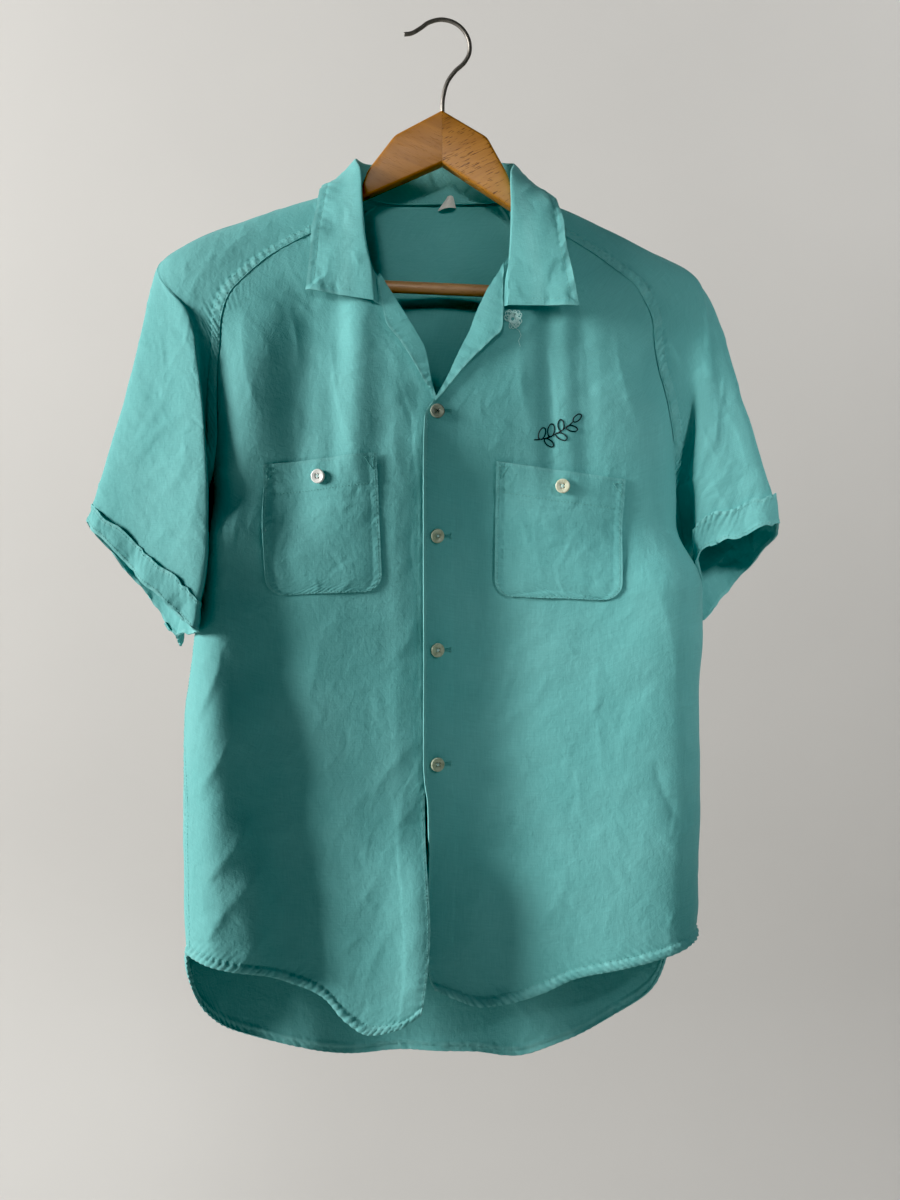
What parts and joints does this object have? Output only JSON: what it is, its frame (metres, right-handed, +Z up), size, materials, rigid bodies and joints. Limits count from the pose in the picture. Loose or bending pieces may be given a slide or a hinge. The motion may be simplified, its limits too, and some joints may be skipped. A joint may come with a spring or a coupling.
{
  "type": "bowling shirt on wooden hanger",
  "caption": "Short-sleeved raglan bowling shirt with camp collar and patch pockets, hanging on a wooden hanger with a trouser bar.",
  "frame": {"origin": "inner top of the hanger's hook, where a rail or wall hook carries it", "axes": "+Z up, the shirt's front faces -Y, +X towards the wearer's left"},
  "size_m": [0.5615, 0.103, 0.8685],
  "materials": {
    "cloth": "slubbed aqua plain-weave rayon, soft and matt",
    "button_shell": "pale pearly shirt-button plastic",
    "label_tape": "off-white woven tape",
    "beech": "red-brown varnished beech",
    "steel_wire": "dull plated steel wire"
  },
  "bodies": {
    "root": {"back": "cloth", "front_right": "cloth", "front_left": "cloth", "lapel_right": "cloth", "lapel_left": "cloth", "sleeve_right": "cloth", "sleeve_left": "cloth", "cuff_right": "cloth", "cuff_left": "cloth", "collar": "cloth", "pocket_right": "cloth", "pocket_left": "cloth", "front_button_1": "button_shell", "front_button_2": "button_shell", "front_button_3": "button_shell", "front_button_4": "button_shell", "pocket_button_right": "button_shell", "pocket_button_left": "button_shell", "neck_label": "label_tape", "hanger_arm_right": "beech", "hanger_arm_left": "beech", "hanger_bar": "beech", "hanger_hook": "steel_wire"}
  },
  "joints": []
}
